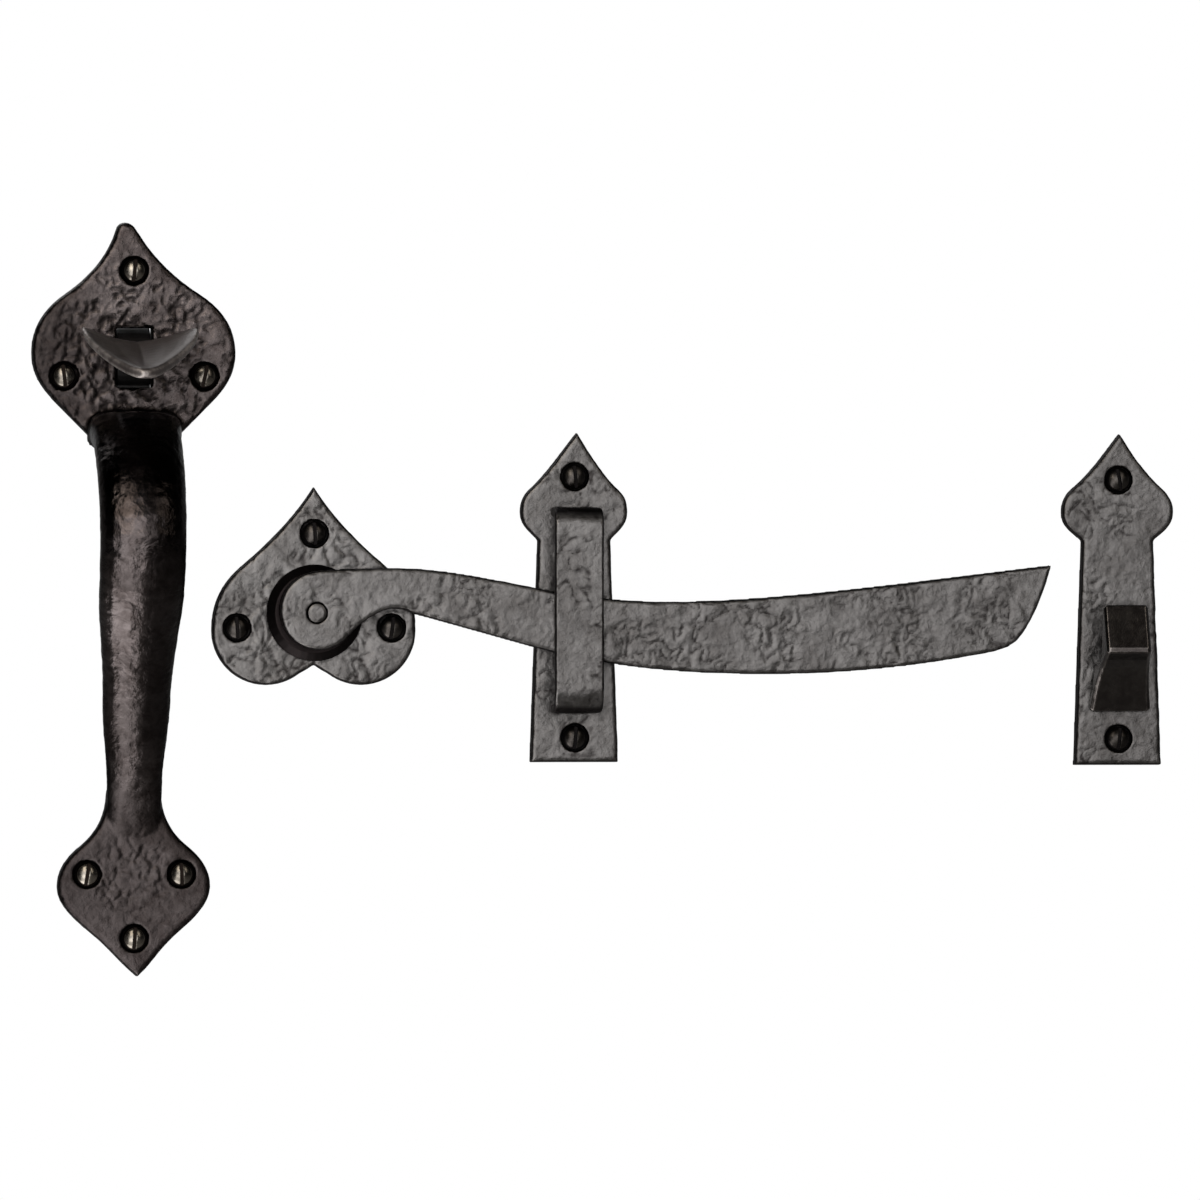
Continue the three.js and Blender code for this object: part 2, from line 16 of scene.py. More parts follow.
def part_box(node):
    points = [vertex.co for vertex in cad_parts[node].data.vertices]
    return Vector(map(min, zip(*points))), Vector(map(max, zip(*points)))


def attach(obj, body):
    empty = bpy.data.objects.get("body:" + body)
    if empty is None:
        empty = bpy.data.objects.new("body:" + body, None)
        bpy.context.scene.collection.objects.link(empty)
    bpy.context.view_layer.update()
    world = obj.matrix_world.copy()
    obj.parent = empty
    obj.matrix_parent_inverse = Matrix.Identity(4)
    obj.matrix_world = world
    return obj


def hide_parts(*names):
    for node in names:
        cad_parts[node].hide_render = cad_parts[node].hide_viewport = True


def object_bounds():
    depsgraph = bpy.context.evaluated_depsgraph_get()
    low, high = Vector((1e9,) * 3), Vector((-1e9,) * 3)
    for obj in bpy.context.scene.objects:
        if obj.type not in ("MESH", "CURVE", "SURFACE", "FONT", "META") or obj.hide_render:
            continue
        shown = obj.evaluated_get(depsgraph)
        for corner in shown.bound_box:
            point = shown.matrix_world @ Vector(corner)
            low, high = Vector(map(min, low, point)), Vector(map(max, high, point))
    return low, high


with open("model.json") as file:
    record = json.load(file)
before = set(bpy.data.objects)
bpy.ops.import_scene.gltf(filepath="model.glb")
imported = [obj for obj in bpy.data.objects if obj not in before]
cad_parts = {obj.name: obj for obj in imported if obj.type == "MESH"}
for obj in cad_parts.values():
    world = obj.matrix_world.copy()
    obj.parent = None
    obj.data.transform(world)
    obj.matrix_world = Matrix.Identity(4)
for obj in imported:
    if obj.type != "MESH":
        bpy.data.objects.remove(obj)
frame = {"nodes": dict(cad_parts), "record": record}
cad_box = [list(corner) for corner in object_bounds()]

MM = 0.001

# ---- Driving values -----------------------------------------------------------------------------------

# The camera: a long lens, a little to the left of square on, and level.
VIEW = {
    "azimuth": -7.0,
    "elevation": 0.0,
    "away": 2.5,
    "aim": (0.0069, 0.0, 0.0033),
    "width": 0.3072,
    "sensor": 36.0,
    "sees": 20.0,
}

FLOOR = {"below": 0.3, "radius": 2.2, "sides": 96}

# The slotted wood screw. Radii and lengths along it in mm, counted from the flat under its head.
SCREW = {
    "head": 3.1,
    "dome": 2.6,
    "rim": 0.5,
    "bevel_in": 0.15,  # the small bevel under the head's rim
    "bevel_out": 0.12,
    "shank": 1.72,
    "plain": 6.0,
    "core": 1.32,
    "pitch": 1.41,
    "thread": 0.42,
    "ridge": 0.24,  # half of a thread ridge's foot, as a share of the pitch
    "length": 24.0,
    "point": 7.0,
    "tip": 0.2,  # from the last ring to the very point
    "slot_wide": 0.9,
    "slot_deep": 1.25,
    "slot_shade": 0.3,  # how far above the slot's floor the painted shade reaches
    "edge": 0.07,
}
POINT_POWER = 0.8  # below 1, so that the point's sides bulge a little
LEAST_TAPER = 0.03
SCREW_SEGMENTS = 44
RINGS_PER_TURN = 6
DOME_RINGS = 12
BEVEL_SEGMENTS = 2
SHARP_EDGE = 50  # degrees: edges that turn more than this are bevelled
SLOT_TILTS = [4, -6, 3, 9, -3, 5, -8, 12, -5, 7, -4, 6, -10]  # degrees off upright, screw by screw

# How a casting is smoothed, worn with a painted rim highlight, and textured.
SMOOTH_STEP = 0.5
SWELL_STEP = -0.52  # a little more than it was smoothed, so that nothing shrinks
EXTRA_SMOOTHING = 5  # rounds where a casting is softened, for each round elsewhere
EVENING_ROUNDS = 2
WEAR_AND_HIGHLIGHT_BEND = (0.35, 0.9)  # one over an edge's radius in mm, from not worn to fully worn, with a painted rim highlight
BACK_LEAN = (0.0, 0.6)  # how much a surface faces the door, from fully textured to plain
PLAIN_DEPTH = (0.3 * MM, 1.5 * MM)  # distance from the door, from plain to fully textured
EDGE_LEAN = (-0.9, -0.55)  # how much a plate's surface faces the door, from its front to its edge

# The handle's grip and the walls of its slot. A pair is the two places that a change runs between.
GRIP_STARTS = (6.0 * MM, 10.0 * MM)  # distance from the door, from plate to grip
SLOT_HALF_WIDE = (5.0 * MM, 5.6 * MM)
SLOT_HALF_TALL = (8.2 * MM, 8.8 * MM)
SLOT_FRONT = (-4.0 * MM, -3.7 * MM)

# How beaten the handle's plates are: round the slot and on the foot (radii), and elsewhere (shares).
ROUGH_ROUND_SLOT = 30 * MM
ROUGH_ON_FOOT = 13 * MM
FOOT_RISE = 16 * MM  # from the foot's lowest screw up to the middle of its roughness
FOOT_SHARE = 0.6
ROUGH_CORE = 0.45  # the share of a rough place's radius where it is roughest
LEAST_DENTS = 0.12
LEAST_DIRT = 0.15

# The handle's chips, creases and swells, and how deep each is sunk in mm.
CHIPS = {"size": 2.7 * MM, "seed": 1, "wide": 0.34}
CHIP_PATCHES = {"size": 3.6 * MM, "seed": 6, "low": 0.42, "high": 0.56}
CREASES = {"size": 4.2 * MM, "seed": 3}
SWELLS = {"size": 8.0 * MM, "seed": 2}
PLATE_DEPTHS = {"chip": 0.42, "crease": 0.4, "swell": 0.25}
GRIP_DEPTHS = {"crease": 0.16, "swell": 0.1}

# Darkening on the handle: soot in its hollows, painted shade on its edges, and broad patches that start and
# end at these places: painted shade on the left of the upper plate and of the foot and on the grip's right
# side, and the whole foot darkened.
CHIP_SOOT = 0.75
CREASE_SOOT = 0.5
DEEP_CREASE = (0.55, 0.9)
# Painted shade on the handle's edges and sides.
EDGE_PAINTED_SHADE = 0.8
UPPER_HALF = (0.0, 30.0 * MM)
LEFT_SIDE = (4.0 * MM, 20.0 * MM)
RIGHT_SIDE = (-1.0 * MM, 2.0 * MM)
ABOVE_FOOT = (-42.0 * MM, -30.0 * MM)
# Painted shade on the upper plate's left, the foot's left and the grip's right side; the whole foot
# darkened.
SHADE_AND_DARKENING = {"upper_left": 0.56, "foot": 0.46, "foot_left_shade": 0.1, "grip_right_shade": 0.6}

# The latch's plates: strong folds in patches, a soft swell (mm), soot in the folds and painted shade on the
# edges.
FOLD_PATCHES = {"size": 15.0 * MM, "low": 0.42, "high": 0.6}
LEAST_FOLDS = 0.4
PLATE_SWELL_SIZE = 5.0 * MM
PLATE_SWELL = 0.2
DEEP_FOLD = (0.5, 0.9)
FOLD_SOOT = 0.8
# Painted shade on the plates' edges and sides.
PLATE_EDGE_PAINTED_SHADE = 0.9

# The smooth irons.
FAINT_SWELL = 0.05
FAINT_SWELLS = {"size": 9.0 * MM, "seed": 5}
PRESS_SHADE = (6.0 * MM, 15.0 * MM)  # distance from the door, from painted shade inside the slot to unshaded

# Voxel sizes (mm) and rounds of smoothing.
HANDLE_VOXEL = 0.44
HANDLE_ROUNDS = 3
PLATE_VOXEL = 0.34
PLATE_ROUNDS = 2


# ---- Mesh helpers -------------------------------------------------------------------------------------

def smoothstep(value, low, high):
    share = np.clip((value - low) / (high - low), 0.0, 1.0)
    return share * share * (3.0 - 2.0 * share)


def remeshed(node, voxel):
    """A fine, even copy of a CAD node's mesh, in the row frame."""
    source = frame["nodes"][node]
    mesh = source.data.copy()
    mesh.transform(source.matrix_world)
    coarse = bpy.data.objects.new("coarse", mesh)
    bpy.context.scene.collection.objects.link(coarse)
    voxels = coarse.modifiers.new("voxels", "REMESH")
    voxels.mode = "VOXEL"
    voxels.voxel_size = voxel
    graph = bpy.context.evaluated_depsgraph_get()
    fine = bpy.data.meshes.new_from_object(coarse.evaluated_get(graph))
    bpy.data.objects.remove(coarse)
    return fine


def points_of(mesh):
    points = np.empty(len(mesh.vertices) * 3)
    mesh.vertices.foreach_get("co", points)
    return points.reshape(-1, 3)


def normals_of(mesh):
    normals = np.empty(len(mesh.vertices) * 3)
    mesh.vertex_normals.foreach_get("vector", normals)
    return normals.reshape(-1, 3)


def edges_of(mesh):
    edges = np.empty(len(mesh.edges) * 2, dtype=np.int32)
    mesh.edges.foreach_get("vertices", edges)
    return edges.reshape(-1, 2)


def set_points(mesh, points):
    mesh.vertices.foreach_set("co", points.ravel())
    mesh.update()


def neighbour_mean(values, edges, counts):
    """Each vertex's mean over the vertices that it shares an edge with. values is (vertices, columns)."""
    total = np.empty_like(values)
    for column in range(values.shape[1]):
        of_first = np.bincount(edges[:, 0], values[edges[:, 1], column], len(values))
        of_second = np.bincount(edges[:, 1], values[edges[:, 0], column], len(values))
        total[:, column] = of_first + of_second
    return total / counts[:, None]


def relax(points, edges, rounds, weight=1.0):
    """Rounds the points off without shrinking them: each round smooths, then swells back a little more."""
    counts = np.bincount(edges.ravel(), minlength=len(points)).astype(float)
    weight = np.broadcast_to(np.asarray(weight, dtype=float), len(points))[:, None]
    for _ in range(rounds):
        for step in (SMOOTH_STEP, SWELL_STEP):
            points = points + (neighbour_mean(points, edges, counts) - points) * step * weight
    return points


# ---- Hammer dents, wrinkles and pits ------------------------------------------------------------------

def each_point(function, points):
    return np.fromiter((function(Vector(p)) for p in points), dtype=float, count=len(points))


BEND_SHIFTS = (Vector((0.0, 0.0, 0.0)), Vector((31.4, 0.0, 0.0)), Vector((0.0, 47.1, 0.0)))
BEND_SCALE = 0.7
BEND = 0.5


def warped(spot):
    """Bends space a little, so that no cell or wave looks regular."""
    return spot + Vector([noise.noise(spot * BEND_SCALE + shift) for shift in BEND_SHIFTS]) * BEND


def waves(points, size, seed, octaves=3):
    """0 to 1, about 0.5 on the whole: a soft irregular swell."""
    shift = Vector((seed * 2.9, seed * 6.1, seed * 1.3))
    return each_point(
        lambda p: 0.5 + 0.5 * noise.fractal(p / size + shift, 0.9, 2.1, octaves), points
    ).clip(0.0, 1.0)


def crinkle(points, size, seed):
    """0 to 1: flats broken up by narrow winding valleys, as beaten iron or a rough mould leaves them."""
    shift = Vector((seed * 4.7, seed * 8.9, seed * 2.3))
    return (each_point(
        lambda p: noise.ridged_multi_fractal(warped(p / size + shift), 0.8, 2.2, 3, 1.0, 1.6), points
    ) / 2.0).clip(0.0, 1.0)


def cracks(points, size, seed, wide):
    """1 along the joints between uneven facets, fading to 0 within them. wide is a share of the size."""
    shift = Vector((seed * 7.3, seed * 3.1, 0.0))

    def joint(p):
        near, next_near = noise.voronoi(warped(p / size + shift))[0][:2]
        return next_near - near

    return 1.0 - smoothstep(each_point(joint, points), 0.0, wide)


def patches(points, size, seed, low, high):
    """0 to 1: where a texture is strong, in patches."""
    return smoothstep(waves(points, size, seed, 2), low, high)


# ---- Pieces -------------------------------------------------------------------------------------------

def body_holding(node):
    bodies = frame["record"]["behaviour"]["bodies"]
    return next(body for body, nodes in bodies.items() if node in nodes)


def place(mesh, name, node, material):
    """Puts a finished mesh in the scene as the piece that stands for a CAD node."""
    mesh.polygons.foreach_set("use_smooth", [True] * len(mesh.polygons))
    mesh.materials.clear()
    mesh.materials.append(material)
    piece = bpy.data.objects.new(name, mesh)
    bpy.context.scene.collection.objects.link(piece)
    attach(piece, body_holding(node))
    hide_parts(node)
    return piece


def store(mesh, name, values):
    """Keeps one number for each vertex on the mesh, for its material to read."""
    layer = mesh.attributes.new(name, "FLOAT", "POINT")
    layer.data.foreach_set("value", np.asarray(values, dtype=np.float32))


def convexity(points, normals, edges, spacing):
    """How sharply each point's surroundings curve away, as one over the radius in mm, evened a little."""
    counts = np.bincount(edges.ravel(), minlength=len(points)).astype(float)
    rise = ((points - neighbour_mean(points, edges, counts)) * normals).sum(axis=1)
    bend = (4.0 * rise / spacing ** 2 * MM)[:, None]
    for _ in range(EVENING_ROUNDS):
        bend = 0.5 * bend + 0.5 * neighbour_mean(bend, edges, counts)
    return bend[:, 0]


def casting(node, voxel, rounds, texture, soften=None):
    """A CAD node's mesh, its edges relaxed and its front textured.

    texture(points, normals) gives how deep each point is sunk, in mm, and how far soot and painted shade
    darken it, from 0 to 1.
    soften(points) gives how much further to smooth each point.
    """
    mesh = remeshed(node, voxel)
    edges = edges_of(mesh)
    points = relax(points_of(mesh), edges, rounds)
    if soften is not None:
        points = relax(points, edges, rounds * EXTRA_SMOOTHING, soften(points))
    set_points(mesh, points)
    normals = normals_of(mesh)
    # Sharp convex edges: wear, and a painted highlight along the rims.
    wear_and_rim_highlight = smoothstep(convexity(points, normals, edges, voxel), *WEAR_AND_HIGHLIGHT_BEND)
    depth, soot_and_shade = texture(points, normals)
    # The back, and whatever stands inside the door, stays as the CAD has it.
    front = (1.0 - smoothstep(normals[:, 1], *BACK_LEAN)) * smoothstep(-points[:, 1], *PLAIN_DEPTH)
    low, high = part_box(node)
    set_points(mesh, np.clip(points - normals * (depth * front * MM)[:, None], low, high))
    # Soot and painted shade are stored together, for the material to darken by.
    store(mesh, "soot_and_shade", soot_and_shade)
    store(mesh, "wear_and_rim_highlight", wear_and_rim_highlight * (1.0 - soot_and_shade))
    return mesh


# ---- Materials ----------------------------------------------------------------------------------------

class Nodes:
    """A material's node tree, with one short call for each kind of node that the irons use."""

    def __init__(self, name):
        self.material = bpy.data.materials.new(name)
        self.material.use_nodes = True
        self.tree = self.material.node_tree
        self.shader = self.tree.nodes["Principled BSDF"]
        self.place = self.tree.nodes.new("ShaderNodeTexCoord").outputs["Object"]

    def link(self, source, target):
        self.tree.links.new(source, target)

    def noise(self, size_mm, detail, roughness=0.6, distortion=0.0):
        node = self.tree.nodes.new("ShaderNodeTexNoise")
        node.inputs["Scale"].default_value = 1.0 / (size_mm * MM)
        node.inputs["Detail"].default_value = detail
        node.inputs["Roughness"].default_value = roughness
        node.inputs["Distortion"].default_value = distortion
        self.link(self.place, node.inputs["Vector"])
        return node.outputs["Fac"]

    def attribute(self, name):
        node = self.tree.nodes.new("ShaderNodeAttribute")
        node.attribute_name = name
        return node.outputs["Fac"]

    def math(self, operation, first, second, clamp=False):
        node = self.tree.nodes.new("ShaderNodeMath")
        node.operation = operation
        node.use_clamp = clamp
        for socket, value in zip(node.inputs, (first, second)):
            if isinstance(value, (int, float)):
                socket.default_value = value
            else:
                self.link(value, socket)
        return node.outputs[0]

    def spread(self, value, low, high, to_low, to_high):
        node = self.tree.nodes.new("ShaderNodeMapRange")
        node.interpolation_type = "SMOOTHSTEP"
        for name, number in zip(("From Min", "From Max", "To Min", "To Max"), (low, high, to_low, to_high)):
            node.inputs[name].default_value = number
        self.link(value, node.inputs["Value"])
        return node.outputs["Result"]

    def mix(self, share, first, second):
        node = self.tree.nodes.new("ShaderNodeMix")
        node.data_type = "RGBA"
        for socket, value in zip((node.inputs[6], node.inputs[7]), (first, second)):
            if isinstance(value, tuple):
                socket.default_value = (*value, 1.0)
            else:
                self.link(value, socket)
        self.link(share, node.inputs[0])
        return node.outputs[2]

    def bump(self, height, distance_mm, strength, under=None):
        node = self.tree.nodes.new("ShaderNodeBump")
        node.inputs["Strength"].default_value = strength
        node.inputs["Distance"].default_value = distance_mm * MM
        self.link(height, node.inputs["Height"])
        if under is not None:
            self.link(under, node.inputs["Normal"])
        return node.outputs["Normal"]


def black_iron(name, dark, light, grime_and_shade, rough, grain, metal, wear_and_highlight):
    """Blackened cast iron: cloudy colour, sooty hollows and painted shade, rubbed edges with a painted rim
    highlight, a fine grain and uneven gloss.

    rough is the least and greatest roughness, grain scales the bump, and the wear setting is how bright
    rubbed edges and their painted rim highlight are. One attribute darkens and dulls, for soot and painted
    shade;
    another brightens, for wear and a painted rim highlight; "polish" smooths.
    """
    nodes = Nodes(name)
    clouds = nodes.noise(size_mm=11.0, detail=4.0, roughness=0.55, distortion=0.4)
    mottle = nodes.noise(size_mm=2.6, detail=6.0, roughness=0.65, distortion=0.5)
    peel = nodes.noise(size_mm=1.15, detail=2.0, roughness=0.5)
    speckle = nodes.noise(size_mm=0.5, detail=3.0, roughness=0.6)
    soot_and_shade = nodes.attribute("soot_and_shade")
    polish = nodes.attribute("polish")
    wear_and_rim_highlight = nodes.attribute("wear_and_rim_highlight")

    tone = nodes.math("ADD", nodes.math("MULTIPLY", clouds, 0.45), nodes.math("MULTIPLY", mottle, 0.55))
    colour = nodes.mix(nodes.spread(tone, 0.36, 0.64, 0.0, 1.0), dark, light)
    # Soot in the hollows, and painted shade, darken the colour towards the grime.
    colour = nodes.mix(nodes.spread(soot_and_shade, 0.15, 0.95, 0.0, 1.0), colour, grime_and_shade)
    # Rubbed edges turn towards bare iron: wear, and a painted rim highlight.
    rubbed_and_lit = nodes.math("MULTIPLY", wear_and_rim_highlight, nodes.spread(mottle, 0.35, 0.6, 0.3, 1.0))
    colour = nodes.mix(nodes.math("MULTIPLY", rubbed_and_lit, wear_and_highlight), colour, BARE_IRON_AND_RIM_LIGHT)
    nodes.link(colour, nodes.shader.inputs["Base Color"])

    uneven = nodes.math("ADD", nodes.math("MULTIPLY", mottle, 0.7), nodes.math("MULTIPLY", speckle, 0.3))
    gloss = nodes.spread(uneven, 0.3, 0.7, rough[0], rough[1])
    gloss = nodes.math("ADD", gloss, nodes.math("MULTIPLY", soot_and_shade, 0.2), clamp=True)
    gloss = nodes.math("MULTIPLY", gloss, nodes.spread(polish, 0.0, 1.0, 1.0, 0.5))
    nodes.link(gloss, nodes.shader.inputs["Roughness"])

    normal = nodes.bump(mottle, distance_mm=0.22 * grain, strength=0.6)
    normal = nodes.bump(peel, distance_mm=0.12 * grain, strength=0.6, under=normal)
    normal = nodes.bump(speckle, distance_mm=0.04 * grain, strength=0.5, under=normal)
    nodes.link(normal, nodes.shader.inputs["Normal"])
    nodes.shader.inputs["Metallic"].default_value = metal
    return nodes.material


def floor_paper():
    nodes = Nodes("pale_paper")
    fibre = nodes.noise(size_mm=6.0, detail=5.0)
    share = nodes.spread(fibre, 0.3, 0.7, 0.0, 1.0)
    colour = nodes.mix(share, (0.84, 0.84, 0.84), (0.88, 0.88, 0.88))
    nodes.link(colour, nodes.shader.inputs["Base Color"])
    nodes.link(nodes.bump(fibre, distance_mm=0.05, strength=0.2), nodes.shader.inputs["Normal"])
    nodes.shader.inputs["Roughness"].default_value = 0.7
    return nodes.material


# The irons: their darkest and lightest tones, the colour of the dirt in their hollows and of their painted
# shade, their least and greatest roughness, and how strong their grain, metal, and wear with its painted
# rim highlight are.
# The colour of rubbed edges: bare iron, also a painted rim highlight.
BARE_IRON_AND_RIM_LIGHT = (0.3, 0.27, 0.255)
IRON_LOOKS = {
    "handle_iron": {
        "dark": (0.026, 0.021, 0.02), "light": (0.06, 0.051, 0.05), "grime_and_shade": (0.004, 0.003, 0.003),
        "rough": (0.2, 0.34), "grain": 1.2, "metal": 1.0, "wear_and_highlight": 0.1,
    },
    "plate_iron": {
        "dark": (0.062, 0.058, 0.056), "light": (0.108, 0.103, 0.101), "grime_and_shade": (0.01, 0.008, 0.008),
        "rough": (0.27, 0.4), "grain": 1.0, "metal": 1.0, "wear_and_highlight": 0.05,
    },
    "press_iron": {
        "dark": (0.05, 0.042, 0.04), "light": (0.085, 0.073, 0.07), "grime_and_shade": (0.003, 0.002, 0.002),
        "rough": (0.3, 0.42), "grain": 0.3, "metal": 0.6, "wear_and_highlight": 0.8,
    },
    "smooth_iron": {
        "dark": (0.03, 0.026, 0.025), "light": (0.05, 0.045, 0.042), "grime_and_shade": (0.01, 0.008, 0.008),
        "rough": (0.2, 0.28), "grain": 0.25, "metal": 1.0, "wear_and_highlight": 0.3,
    },
    # A brighter, creamier copy of the screws' iron, for a painted highlight on the handle's screws and the
    # press's pin.
    "handle_screw_iron": {
        "dark": (0.09, 0.08, 0.068), "light": (0.2, 0.18, 0.155), "grime_and_shade": (0.008, 0.006, 0.005),
        "rough": (0.18, 0.3), "grain": 0.2, "metal": 1.0, "wear_and_highlight": 0.0,
    },
    # A darker copy of the same iron, painted shaded, for the latch's screws.
    "shaded_screw_iron": {
        "dark": (0.026, 0.023, 0.021), "light": (0.06, 0.054, 0.05), "grime_and_shade": (0.008, 0.007, 0.007),
        "rough": (0.26, 0.38), "grain": 0.3, "metal": 1.0, "wear_and_highlight": 0.0,
    },
}
IRONS = {name: black_iron(name, **look) for name, look in IRON_LOOKS.items()}


# ---- Castings -----------------------------------------------------------------------------------------

def grip_share(points):
    """1 on the bowed grip, 0 on the handle's two flat plates."""
    return smoothstep(-points[:, 1], *GRIP_STARTS)


def around(points, centre, radius):
    """1 at a place on the front, fading to 0 at the radius. centre is (x, z)."""
    away = np.hypot(points[:, 0] - centre[0], points[:, 2] - centre[1])
    return 1.0 - smoothstep(away, ROUGH_CORE * radius, radius)


def in_slot(points):
    """1 on the walls of the thumb press's slot, which are kept plain and painted black with shade."""
    low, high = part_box("thumb_pivot_pin")
    middle = (low.x + high.x) / 2
    level = (low.z + high.z) / 2
    near = 1.0 - smoothstep(np.abs(points[:, 0] - middle), *SLOT_HALF_WIDE)
    near *= 1.0 - smoothstep(np.abs(points[:, 2] - level), *SLOT_HALF_TALL)
    return near * smoothstep(points[:, 1], *SLOT_FRONT)


def on_edge(normals):
    """1 on a plate's rounded edges and sides, 0 on its front: where painted shade is laid."""
    return smoothstep(normals[:, 1], *EDGE_LEAN)


def handle_roughness(points, middle, level):
    """How beaten each point of the handle's plates is: most round the press's slot, less on the foot."""
    low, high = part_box("handle_screw_bottom")
    foot = (middle, (low.z + high.z) / 2 + FOOT_RISE)
    round_slot = around(points, (middle, level), ROUGH_ROUND_SLOT)
    return np.maximum(round_slot, FOOT_SHARE * around(points, foot, ROUGH_ON_FOOT))


def handle_shade_and_darkening(points, middle):
    """Two darkened patches: painted shade on the left of the upper plate and of the foot, with the whole
    foot darkened, and painted shade down the right side of the grip.
    """
    upper = smoothstep(points[:, 2], *UPPER_HALF)
    left = smoothstep(middle - points[:, 0], *LEFT_SIDE)
    foot = (SHADE_AND_DARKENING["foot"] + SHADE_AND_DARKENING["foot_left_shade"] * left) * (1.0 - upper)
    right = SHADE_AND_DARKENING["grip_right_shade"] * smoothstep(points[:, 0] - middle, *RIGHT_SIDE)
    return SHADE_AND_DARKENING["upper_left"] * upper * left + foot, right * smoothstep(points[:, 2], *ABOVE_FOOT)


def handle_texture(points, normals):
    """Chipped facets round the slot, plainer towards the rims, and a smoother grip."""
    low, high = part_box("thumb_press")
    middle = (low.x + high.x) / 2
    on_grip = grip_share(points)
    slot = in_slot(points)
    rough = handle_roughness(points, middle, (low.z + high.z) / 2)
    chip = cracks(points, **CHIPS) * patches(points, **CHIP_PATCHES)
    crease = crinkle(points, **CREASES)
    swell = waves(points, **SWELLS)
    dents = PLATE_DEPTHS["chip"] * chip + PLATE_DEPTHS["crease"] * crease
    plate = (LEAST_DENTS + (1.0 - LEAST_DENTS) * rough) * dents + PLATE_DEPTHS["swell"] * swell
    grip = GRIP_DEPTHS["swell"] * swell + GRIP_DEPTHS["crease"] * crease
    depth = (plate * (1.0 - on_grip) + grip * on_grip) * (1.0 - slot)
    hollows = np.maximum(CHIP_SOOT * chip, CREASE_SOOT * smoothstep(crease, *DEEP_CREASE))
    hollows = (LEAST_DIRT + (1.0 - LEAST_DIRT) * rough) * hollows
    plate_shade_and_darkening, grip_painted_shade = handle_shade_and_darkening(points, middle)
    # Soot in the hollows; painted shade on the edges and in broad patches; the foot darkened.
    plate_soot_and_shade = np.maximum.reduce((hollows, plate_shade_and_darkening, EDGE_PAINTED_SHADE * on_edge(normals)))
    grip_soot_and_shade = np.maximum(LEAST_DIRT * hollows, grip_painted_shade)
    # The slot's walls are painted black with shade.
    return depth, np.maximum(plate_soot_and_shade * (1.0 - on_grip) + grip_soot_and_shade * on_grip, slot)


def plate_texture(seed, folds, size):
    """Winding folds in patches over a soft swell. folds is their depth in mm, and size their breadth."""

    def texture(points, normals):
        crease = crinkle(points, size * MM, seed)
        strong = LEAST_FOLDS + (1.0 - LEAST_FOLDS) * patches(points, seed=seed + 1, **FOLD_PATCHES)
        swell = waves(points, PLATE_SWELL_SIZE, seed + 2)
        depth = folds * crease * strong + PLATE_SWELL * swell
        hollows = FOLD_SOOT * strong * smoothstep(crease, *DEEP_FOLD)
        # Soot in the deepest folds; painted shade on the edges and sides.
        return depth, np.maximum(hollows, PLATE_EDGE_PAINTED_SHADE * on_edge(normals))

    return texture


def faint_swell(points):
    return FAINT_SWELL * waves(points, **FAINT_SWELLS)


def smooth_texture(points, _normals):
    return faint_swell(points), np.zeros(len(points))


# Painted shade all over: for the spacer, which sits in the shade under the latch bar.
def shaded_texture(points, _normals):
    return faint_swell(points), np.ones(len(points))


def press_texture(points, _normals):
    """Smooth where thumbs rub it, and painted black with shade inside the slot."""
    return faint_swell(points), 1.0 - smoothstep(-points[:, 1], *PRESS_SHADE)


# How deep (mm) and how broad (mm) the folds are in each plate.
FOLDS = {
    "heart_plate": (0.4, 4.0),
    "latch_bar": (0.28, 2.9),
    "guide_plate": (0.2, 4.6),
    "guide_staple": (0.1, 4.6),
    "keeper_plate": (0.2, 3.6),
}

# The plainer irons: node, voxel in mm, rounds of smoothing, texture and material.
PLAIN = (
    ("thumb_press", 0.3, 8, press_texture, "press_iron"),
    ("keeper_hook", 0.24, 2, smooth_texture, "smooth_iron"),
    ("pivot_spacer", 0.24, 2, shaded_texture, "smooth_iron"),
    ("pivot_rivet", 0.18, 1, smooth_texture, "plate_iron"),
    ("thumb_pivot_pin", 0.18, 1, smooth_texture, "handle_screw_iron"),
)


def make_castings():
    handle = casting("handle", HANDLE_VOXEL * MM, HANDLE_ROUNDS, handle_texture, grip_share)
    store(handle, "polish", grip_share(points_of(handle)))
    place(handle, "handle_casting", "handle", IRONS["handle_iron"])
    for seed, (node, (folds, size)) in enumerate(FOLDS.items()):
        mesh = casting(node, PLATE_VOXEL * MM, PLATE_ROUNDS, plate_texture(seed * 5 + 11, folds, size))
        place(mesh, f"{node}_iron", node, IRONS["plate_iron"])
    for node, voxel, rounds, texture, iron in PLAIN:
        place(casting(node, voxel * MM, rounds, texture), f"{node}_iron", node, IRONS[iron])


# ---- Screws -------------------------------------------------------------------------------------------

def screw_radius(along, angle):
    """The shank's radius at a distance behind the head: plain, then threaded, then tapered to a point."""
    plain, pitch, length, point = SCREW["plain"], SCREW["pitch"], SCREW["length"], SCREW["point"]
    if along <= plain:
        return SCREW["shank"]
    runs_in = min(1.0, (along - plain) / pitch)
    taper = min(1.0, max(LEAST_TAPER, (length - along) / point))
    phase = (along / pitch - angle / (2 * math.pi)) % 1.0
    ridge = max(0.0, 1.0 - abs(phase - 0.5) / SCREW["ridge"])
    core = SCREW["shank"] + (SCREW["core"] - SCREW["shank"]) * runs_in
    return (core + SCREW["thread"] * ridge * runs_in) * taper ** POINT_POWER


